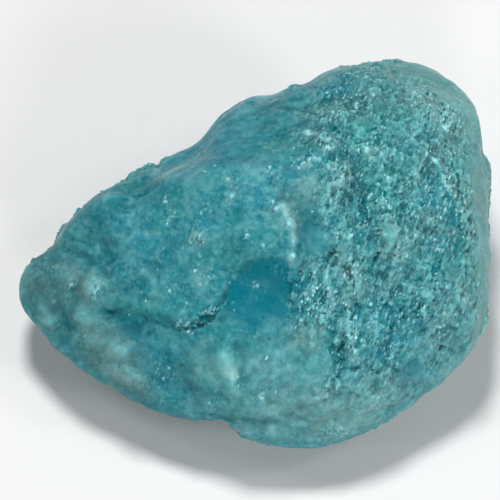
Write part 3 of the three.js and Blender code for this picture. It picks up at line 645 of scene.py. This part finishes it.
def carve(stone):
    """Works the fine copy into the rough stone and paints the masks that its finish reads."""
    mesh = stone.data
    places = vertex_array(mesh)
    face = in_face_frame(places)
    u, v, _ = face.T
    facing = facing_out(mesh)
    front = broad_side(face, facing)
    ragged = 0.3 * cloudy(face, 2.2, 7.7) + 0.15 * cloudy(face, 0.8, 1.9)
    granular = patches(GRANULAR, u, v, ragged) * (1 - patches(GRANULAR_GAPS, u, v, ragged))
    granular = front * granular + (1 - front) * smooth_step(-0.2, 0.5, cloudy(face, 6, 5.5))
    granular = smooth_step(0.12, 0.8, granular)
    milky = front * patches(MILKY, u, v, ragged, 0.7)
    # The edge of the clear hollow is sharp above, soft below and fairly soft at the right.
    distance, side, _ = beside_path(POOL, u, v)
    soft = 0.2 + 1.1 * smooth_step(-4, -6.5, v) + 0.4 * smooth_step(1.5, 3.5, u)
    pool = front * smooth_step(1, -1, (side * distance + ragged) / soft)

    # The larger forms move straight out of the face, and the pool and the bend are evened.
    ledges, shade = recut_ledges(face)
    lift = front * (ledges + raise_ridges(face) + raise_lumps(face))
    even = np.maximum(pool, back_left_bend(face, facing))
    places = smoothed(mesh, places + np.outer(lift, OUT_OF_FACE), 30, even[:, None])
    set_vertices(mesh, places)

    # The fine relief moves out of the surface, but not where the stone rests. Then the smooth side is
    # evened once more where it turns edge on to the face, so that no fine creases show there.
    facing = facing_out(mesh)
    off_the_seat = smooth_step(0.2 * MM, 1.6 * MM, places[:, 2])
    height = nicked(fine_relief(face, granular, milky, even), face, facing)
    creased = (1 - granular) * (0.15 + 0.85 * smooth_step(0.75, 0.4, np.abs(facing)))
    moved = vertex_array(mesh, "normal") * (off_the_seat * height * MM)[:, None]
    places = smoothed(mesh, places + moved, 4, creased[:, None])
    # Nothing reaches past the box of the solid.
    low, high = (np.array(corner) for corner in cad_box)
    places = np.clip(places, low, high)
    set_vertices(mesh, places)

    paint(mesh, "granular", granular)
    paint(mesh, "pool", pool)
    # Relief drives painted shade in the crevices and painted highlights on the crests.
    paint(mesh, "relief", standing_proud(mesh, places))
    paint_tints(mesh, face, front, ragged, milky, shade)
    # Painted shade where the stone turns away at the left and below, painted light on its steep right side.
    turned, lit_right_side = turned_sides(face, facing)
    paint(mesh, "turned", turned)
    paint(mesh, "lit_right_side", lit_right_side)
    glints, near_glints = lone_crystals(face)
    paint(mesh, "glint", front * glints)
    crowded = front * patches(SPARKLING, u, v, ragged, 0.8)
    paint(mesh, "sparkling", 0.48 * np.maximum(granular, 0.6 * front * near_glints) + 0.52 * crowded)


def paint_tints(mesh, face, front, ragged, milky, shade):
    """Paints where the stone is milky, grey, green, blue and deep, the deep holding painted shade under the
    ledges too. Away from the face it has clouds of all but the last."""
    u, v, _ = face.T
    hidden = 1 - front
    paint(mesh, "milky", milky + 0.7 * hidden * smooth_step(0.15, 0.5, cloudy(face, 3.4, 21.3)))
    for n, (name, spots) in enumerate((("grey", GREY), ("green", GREEN), ("blue", BLUE))):
        elsewhere = 0.6 * hidden * smooth_step(0.1, 0.5, cloudy(face, 4.5 - n, 31.7 + 5 * n))
        paint(mesh, name, front * patches(spots, u, v, ragged, 0.7) + elsewhere)
    # Deep is partly the stone's own deep tone and partly painted shade, here also under the ledges.
    deep = front * patches(DEEP_AND_SHADED, u, v, ragged, 0.5)
    paint(mesh, "deep", np.maximum(deep, 0.65 * front * shade))


def turned_sides(face, facing):
    """Where the stone turns away from the face: painted shade left and below, pale painted light right."""
    u, v, _ = face.T
    rightward = u + 0.3 * v
    turned = smooth_step(0.75, 0.15, facing) * (1 - 0.85 * smooth_step(0, 14, rightward))
    turned *= 0.45 + 0.55 * smooth_step(8, 0, v)
    lit_right_side = smooth_step(0.85, 0.35, facing) * smooth_step(2, 16, rightward)
    return turned, lit_right_side


def lone_crystals(face):
    """How strongly each place lies in one of the brightest crystals, where a highlight is painted, and how
    near it is to any of them.
    """
    bend = 0.16 * cloudy(face, 0.4, 41.2)
    u, v, _ = steeply(face + np.outer(bend, (1, -1, 0))).T
    crystals = np.zeros(len(face))
    near = np.zeros(len(face))
    for at_u, at_v, size in GLINTS:
        along, across, _ = steeply(np.array((at_u, at_v, 0)))
        distance = np.hypot((u - along) / 1.25, v - across)
        inside = smooth_step(1.25 * size, 0.3 * size, distance)
        crystals = np.maximum(crystals, size / FULL_GLINT * inside)
        near = np.maximum(near, smooth_step(1.3, 0.2, distance))
    return crystals, near


def standing_proud(mesh, places, rounds=24, reach=0.35):
    """How far each place stands proud of its surroundings, from -1 in a crevice to 1 on a crest."""
    out = vertex_array(mesh, "normal")
    return np.einsum("ij,ij->i", places - smoothed(mesh, places, rounds), out) / (reach * MM)


def paint(mesh, name, values):
    painted = mesh.attributes.new(name, "FLOAT", "POINT")
    painted.data.foreach_set("value", np.clip(values, -1, 1).astype(np.float32))


# ---- The finish ----------------------------------------------------------------------------------


def colour(r, g, b):
    """A colour for the shader, from its parts as a screen shows them, 0 to 255."""
    return (*[((c / 255 + 0.055) / 1.055) ** 2.4 for c in (r, g, b)], 1)


# The paler and darker clouds of the body: how many to a millimetre, how fine, where a cloud begins and
# where it is full, how strong it is and its colour.
CLOUDS = [
    (0.45, 2, 0.48, 0.66, 0.5, colour(108, 182, 186)),
    (0.62, 2, 0.5, 0.66, 0.5, colour(10, 113, 130)),
    (1.5, 3, 0.55, 0.7, 0.35, colour(118, 190, 194)),
    (1.9, 3, 0.55, 0.7, 0.35, colour(12, 110, 126)),
]
TINTS = {"green": colour(65, 152, 147), "blue": colour(48, 139, 159), "grey": colour(96, 138, 137)}
BERYL_IOR = 1.575
GLOSS_TINT = (0.55, 0.95, 1.0, 1)
GLOW_REACH = (0.35, 1.0, 1.1)  # how far red, green and blue light goes under the surface, in millimetres


class Finish:
    """A material, and short ways to add nodes to it. Places in its textures are in millimetres."""

    def __init__(self, name):
        self.material = bpy.data.materials.new(name)
        self.material.use_nodes = True
        self.nodes = self.material.node_tree.nodes
        self.shader = self.nodes["Principled BSDF"]
        here = self.nodes.new("ShaderNodeTexCoord").outputs["Object"]
        self.place = self.vector("SCALE", here, Scale=1 / MM)

    def join(self, value, socket):
        if isinstance(value, bpy.types.NodeSocket):
            self.material.node_tree.links.new(value, socket)
        else:
            socket.default_value = value

    def vector(self, operation, *values, **named):
        made = self.nodes.new("ShaderNodeVectorMath")
        made.operation = operation
        for value, socket in zip(values, made.inputs):
            self.join(value, socket)
        for name, value in named.items():
            self.join(value, made.inputs[name])
        return made.outputs[0]

    def on_the_stone(self, way):
        """A way in the stone's own frame, wherever the stone is laid."""
        made = self.nodes.new("ShaderNodeVectorTransform")
        made.convert_from = "OBJECT"
        made.convert_to = "WORLD"
        self.join(way, made.inputs[0])
        return made.outputs[0]

    def painted(self, name):
        made = self.nodes.new("ShaderNodeAttribute")
        made.attribute_name = name
        return made.outputs["Fac"]

    def mix(self, share, first, second, kind="Color", blend="MIX"):
        made = self.nodes.new("ShaderNodeMix")
        made.data_type = {"Color": "RGBA", "Float": "FLOAT", "Vector": "VECTOR"}[kind]
        made.blend_type = blend
        ins = {socket.identifier: socket for socket in made.inputs}
        self.join(share, ins["Factor_Float"])
        self.join(first, ins["A_" + kind])
        self.join(second, ins["B_" + kind])
        return next(socket for socket in made.outputs if socket.identifier == "Result_" + kind)

    def ramp(self, value, low, high, to_low=0.0, to_high=1.0):
        """to_low where value is low, to_high where it is high, and a smooth change between."""
        made = self.nodes.new("ShaderNodeMapRange")
        made.interpolation_type = "SMOOTHSTEP"
        for name, item in (("Value", value), ("From Min", low), ("From Max", high),
                           ("To Min", to_low), ("To Max", to_high)):
            self.join(item, made.inputs[name])
        return made.outputs["Result"]

    def reckon(self, operation, value, other):
        made = self.nodes.new("ShaderNodeMath")
        made.operation = operation
        self.join(value, made.inputs[0])
        self.join(other, made.inputs[1])
        return made.outputs[0]

    def times(self, value, other):
        return self.reckon("MULTIPLY", value, other)

    def less(self, value, other):
        return self.reckon("SUBTRACT", value, other)

    def noise(self, scale, detail=2):
        made = self.nodes.new("ShaderNodeTexNoise")
        made.inputs["Scale"].default_value = scale
        made.inputs["Detail"].default_value = detail
        self.join(self.place, made.inputs["Vector"])
        return made

    def cloud(self, scale, detail=2):
        return self.noise(scale, detail).outputs["Fac"]

    def crystals(self, scale, wander, stretch=None):
        """Cells with wandering edges. Where they are stretched, they lie steeply across the face."""
        made = self.nodes.new("ShaderNodeTexVoronoi")
        made.inputs["Scale"].default_value = scale
        bend = self.noise(1 / (2 * wander)).outputs["Color"]
        vector = self.vector("MULTIPLY_ADD", bend, (wander,) * 3, self.place)
        if stretch:
            lying = self.nodes.new("ShaderNodeMapping")
            lying.inputs["Rotation"].default_value = (-LEAN, 0, -STEEP)
            self.join(vector, lying.inputs["Vector"])
            vector = self.vector("MULTIPLY", lying.outputs[0], stretch)
        self.join(vector, made.inputs["Vector"])
        return made

    def lot(self, cells, channel):
        """A number from 0 to 1 of each cell's own."""
        parts = self.nodes.new("ShaderNodeSeparateColor")
        self.join(cells.outputs["Color"], parts.inputs[0])
        return parts.outputs[channel]


def cloudy_body(f):
    """The colour of the body, with paler and darker clouds and small facets in it."""
    body = f.mix(f.ramp(f.cloud(0.16), 0.38, 0.62), colour(48, 147, 153), colour(42, 143, 159))
    for scale, detail, begins, full, strength, shade in CLOUDS:
        body = f.mix(f.times(f.ramp(f.cloud(scale, detail), begins, full), strength), body, shade)
    facets = f.crystals(2.6, 0.2)
    sharpness = f.ramp(f.painted("grey"), 0, 1, 0.28, 0.5)
    body = f.mix(f.times(f.ramp(f.lot(facets, 0), 0.4, 1), sharpness), body, colour(128, 196, 198))
    return f.mix(f.times(f.ramp(f.lot(facets, 1), 0.4, 1), sharpness), body, colour(10, 106, 120))


def parts_of_the_stone(f, body, granular):
    """The body's colour with the stone's parts in it: chipped, deep, tinted, milky and clear. Painted shade
    darkens the sides turned away at the left and below and the crevices; painted light makes the steep
    right side paler and greyer and the crests paler."""
    chips = f.crystals(1.5, 0.4)
    uneven = f.times(f.ramp(f.cloud(1.1), 0.35, 0.6, 0.6, 1), f.ramp(f.lot(chips, 2), 0, 1, 0.8, 1))
    pale_chips = f.times(f.ramp(f.lot(chips, 0), 0.5, 0.95), f.ramp(granular, 0, 0.5, 0.16, 0.3))
    body = f.mix(pale_chips, body, colour(142, 204, 203))
    dark_chips = f.times(f.ramp(f.lot(chips, 1), 0.5, 0.95), f.ramp(granular, 0, 0.5, 0.18, 0.28))
    body = f.mix(dark_chips, body, colour(8, 100, 112))
    # Painted shade where it turns away left and below; paler, greyer painted light on its steep right side.
    body = f.mix(f.times(f.painted("turned"), 0.75), body, colour(20, 94, 107))
    body = f.mix(f.times(f.painted("lit_right_side"), f.times(uneven, 0.7)), body, colour(120, 150, 146))
    # Deep patches: partly the stone's own deep tone, partly painted shade in crevices and under ledges.
    deep = f.times(f.times(f.painted("deep"), uneven), f.ramp(granular, 0, 1, 0.9, 0.72))
    body = f.mix(deep, body, colour(4, 94, 106))

    # The tints leave light and dark as they are.
    for name, tint in TINTS.items():
        body = f.mix(f.times(f.painted(name), uneven), body, tint, blend="COLOR")

    milky = f.painted("milky")
    milk = f.mix(f.ramp(f.cloud(0.9), 0.4, 0.6), colour(124, 171, 171), colour(146, 204, 206))
    body = f.mix(f.times(milky, uneven), body, milk)
    milkiest = f.times(f.ramp(milky, 0.6, 1), f.times(uneven, 0.6))
    body = f.mix(milkiest, body, colour(160, 210, 211))
    clear = f.times(f.painted("pool"), f.ramp(f.cloud(0.6), 0.3, 0.6, 0.7, 0.95))
    body = f.mix(clear, body, colour(0, 123, 141))
    # Painted shade in the crevices and painted highlights on the crests, by how proud each place stands.
    relief = f.painted("relief")
    body = f.mix(f.times(f.ramp(relief, -0.05, -0.8), 0.5), body, colour(0, 112, 126))
    crest = f.times(f.ramp(relief, 0.15, 0.9), f.ramp(granular, 0, 1, 0.2, 0.35))
    return f.mix(crest, body, colour(147, 214, 214))


def small_crystals(f, body, granular, glint):
    """The body's colour with small pale and dark crystals in it, crowded on the granular side. The pale ones
    are partly painted glints, and the brightest crystals get a painted highlight.
    """
    sparkling = f.painted("sparkling")
    flecks = f.crystals(2.4, 0.22, (1, 2.1, 1.4))
    dark_flecks = f.times(f.ramp(f.lot(flecks, 1), 0.6, 0.95), f.ramp(sparkling, 0.1, 1, 0.05, 0.85))
    body = f.mix(dark_flecks, body, colour(2, 84, 95))

    # Pale strokes on the granular side: partly pale crystal, partly painted glints.
    strokes = f.crystals(1.4, 0.3, (1, 2.8, 1.6))
    pale = f.less(f.lot(strokes, 0), f.times(strokes.outputs["Distance"], 0.6))
    pale = f.times(f.times(f.ramp(pale, 0.4, 0.75), granular), 0.5)
    body = f.mix(pale, body, colour(146, 210, 210))

    # Bright flecks where it sparkles: partly pale specks in the stone, partly painted glints.
    crowd = f.times(f.ramp(sparkling, 0, 1, 0.05, 1.5), f.ramp(f.cloud(0.5), 0.38, 0.62, 0.35, 1))
    bright = f.less(f.lot(flecks, 0), f.times(flecks.outputs["Distance"], 0.7))
    fleck = f.mix(f.lot(flecks, 2), colour(130, 206, 208), colour(212, 250, 250))
    body = f.mix(f.times(f.ramp(bright, 0.42, 0.85), crowd), body, fleck)
    # A painted highlight on the brightest crystals, over their tilted flat tops.
    return f.mix(f.ramp(glint, 0.15, 0.95, 0, 0.7), body, colour(168, 234, 238))


def gloss_and_tilt(f, granular, glint):
    """Gives each small crystal its own gloss and tilt. On the smooth side only a few break the surface."""
    grains = f.crystals(3.0, 0.15, (1, 1.8, 1.3))
    alone = f.ramp(f.lot(grains, 0), 0.93, 0.95)
    smooth_side = f.ramp(alone, 0, 1, 0.4, 0.15)
    granular_side = f.ramp(f.lot(grains, 1), 0, 1, 0.06, 0.3)
    roughness = f.mix(granular, smooth_side, granular_side, "Float")
    roughness = f.mix(f.ramp(glint, 0, 0.4), roughness, f.ramp(glint, 0.3, 1, 0.5, 0.27), "Float")
    f.join(roughness, f.shader.inputs["Roughness"])

    tilt = f.vector("SUBTRACT", grains.outputs["Color"], (0.5, 0.5, 0.5))
    tilt = f.vector("SCALE", tilt, Scale=f.mix(granular, alone, 1.1, "Float"))
    bump = f.nodes.new("ShaderNodeBump")
    f.join(f.ramp(granular, 0, 1, 0.15, 0.5), bump.inputs["Strength"])
    bump.inputs["Distance"].default_value = 0.15 * MM
    f.join(f.cloud(2.0, 3), bump.inputs["Height"])
    normal = f.vector("ADD", bump.outputs[0], f.on_the_stone(tilt))
    normal = f.mix(f.ramp(glint, 0.05, 0.5), normal, f.on_the_stone(CLEAVAGE), "Vector")
    f.join(f.vector("NORMALIZE", normal), f.shader.inputs["Normal"])


def aquamarine_finish():
    f = Finish("cloudy_aquamarine")
    granular = f.painted("granular")
    glint = f.times(f.painted("glint"), f.ramp(f.cloud(4.0, 1), 0.35, 0.5, 0.5, 1))
    body = parts_of_the_stone(f, cloudy_body(f), granular)
    body = small_crystals(f, body, granular, glint)
    f.join(body, f.shader.inputs["Base Color"])
    gloss_and_tilt(f, granular, glint)
    for name, value in (("IOR", BERYL_IOR), ("Specular IOR Level", 0.14), ("Specular Tint", GLOSS_TINT),
                        ("Subsurface Weight", 0.8), ("Subsurface Radius", GLOW_REACH),
                        ("Subsurface Scale", 1.0 * MM)):
        f.shader.inputs[name].default_value = value
    return f.material


# ---- The studio ----------------------------------------------------------------------------------

CAMERA_RISE = math.radians(60)
LENS = 300  # in millimetres, like the width of the sensor
SENSOR = 36
VIEW_WIDTH = 47.5 * MM
AIM = Vector((-0.57, 0.19, 0))  # the middle of the view, in the face frame

# Soft round lights: the way to each from the middle of the face in u, v and w, its breadth in metres and
# its power in watts.
LIGHT_DISTANCE = 0.45  # in metres
LIGHTS = {
    "key": ((-0.08, 0.7, 0.68), 0.1, 1.36),
    "left_fill": ((-0.7, -0.05, 0.6), 0.1, 0.12),
    "right_fill": ((0.75, -0.2, 0.6), 0.1, 0.46),
    "lower_fill": ((0.15, -0.55, 0.8), 0.1, 0.43),
    "upper_left_fill": ((-0.55, 0.45, 0.6), 0.08, 0.1),
    "upper_right_fill": ((0.6, 0.3, 0.6), 0.08, 0.19),
}


def pale_floor():
    bpy.ops.object.select_all(action="DESELECT")
    bpy.ops.mesh.primitive_plane_add(size=4, location=(0, 0, 0))
    floor = bpy.context.object
    floor.name = "pale_floor"
    material = bpy.data.materials.new("pale_floor")
    material.use_nodes = True
    shader = material.node_tree.nodes["Principled BSDF"]
    shader.inputs["Base Color"].default_value = (0.9, 0.9, 0.9, 1)
    shader.inputs["Roughness"].default_value = 0.9
    shader.inputs["Specular IOR Level"].default_value = 0.1
    floor.data.materials.append(material)


def soft_light(name, towards, size, power):
    at = FACE_MIDDLE + (FACE_TO_STONE.to_3x3() @ Vector(towards)).normalized() * LIGHT_DISTANCE
    light = bpy.data.lights.new(name, "AREA")
    light.shape = "DISK"
    light.size = size
    light.energy = power
    lamp = bpy.data.objects.new(name, light)
    lamp.location = at
    lamp.rotation_euler = (FACE_MIDDLE - at).to_track_quat("-Z", "Y").to_euler()
    bpy.context.scene.collection.objects.link(lamp)


def face_camera():
    camera = bpy.data.cameras.new("camera")
    camera.lens = LENS
    camera.sensor_width = SENSOR
    camera.clip_start = 0.01
    viewer = bpy.data.objects.new("camera", camera)
    back = Vector((0, -math.cos(CAMERA_RISE), math.sin(CAMERA_RISE)))
    viewer.location = FACE_TO_STONE @ AIM + back * (VIEW_WIDTH * LENS / SENSOR)
    viewer.rotation_euler = (-back).to_track_quat("-Z", "Y").to_euler()
    bpy.context.scene.collection.objects.link(viewer)
    bpy.context.scene.camera = viewer


def studio():
    pale_floor()
    world = bpy.data.worlds.new("soft_room")
    bpy.context.scene.world = world
    world.use_nodes = True
    world.node_tree.nodes["Background"].inputs["Color"].default_value = (1, 1, 1, 1)
    world.node_tree.nodes["Background"].inputs["Strength"].default_value = 0.1
    for name, light in LIGHTS.items():
        soft_light(name, *light)
    face_camera()
    bpy.context.scene.view_settings.view_transform = "Standard"


# ---- All of it together --------------------------------------------------------------------------

rough_stone = fine_copy_of_the_solid()
carve(rough_stone)
rough_stone.data.materials.append(aquamarine_finish())
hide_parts("raw_aquamarine")
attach(rough_stone, "root")
studio()
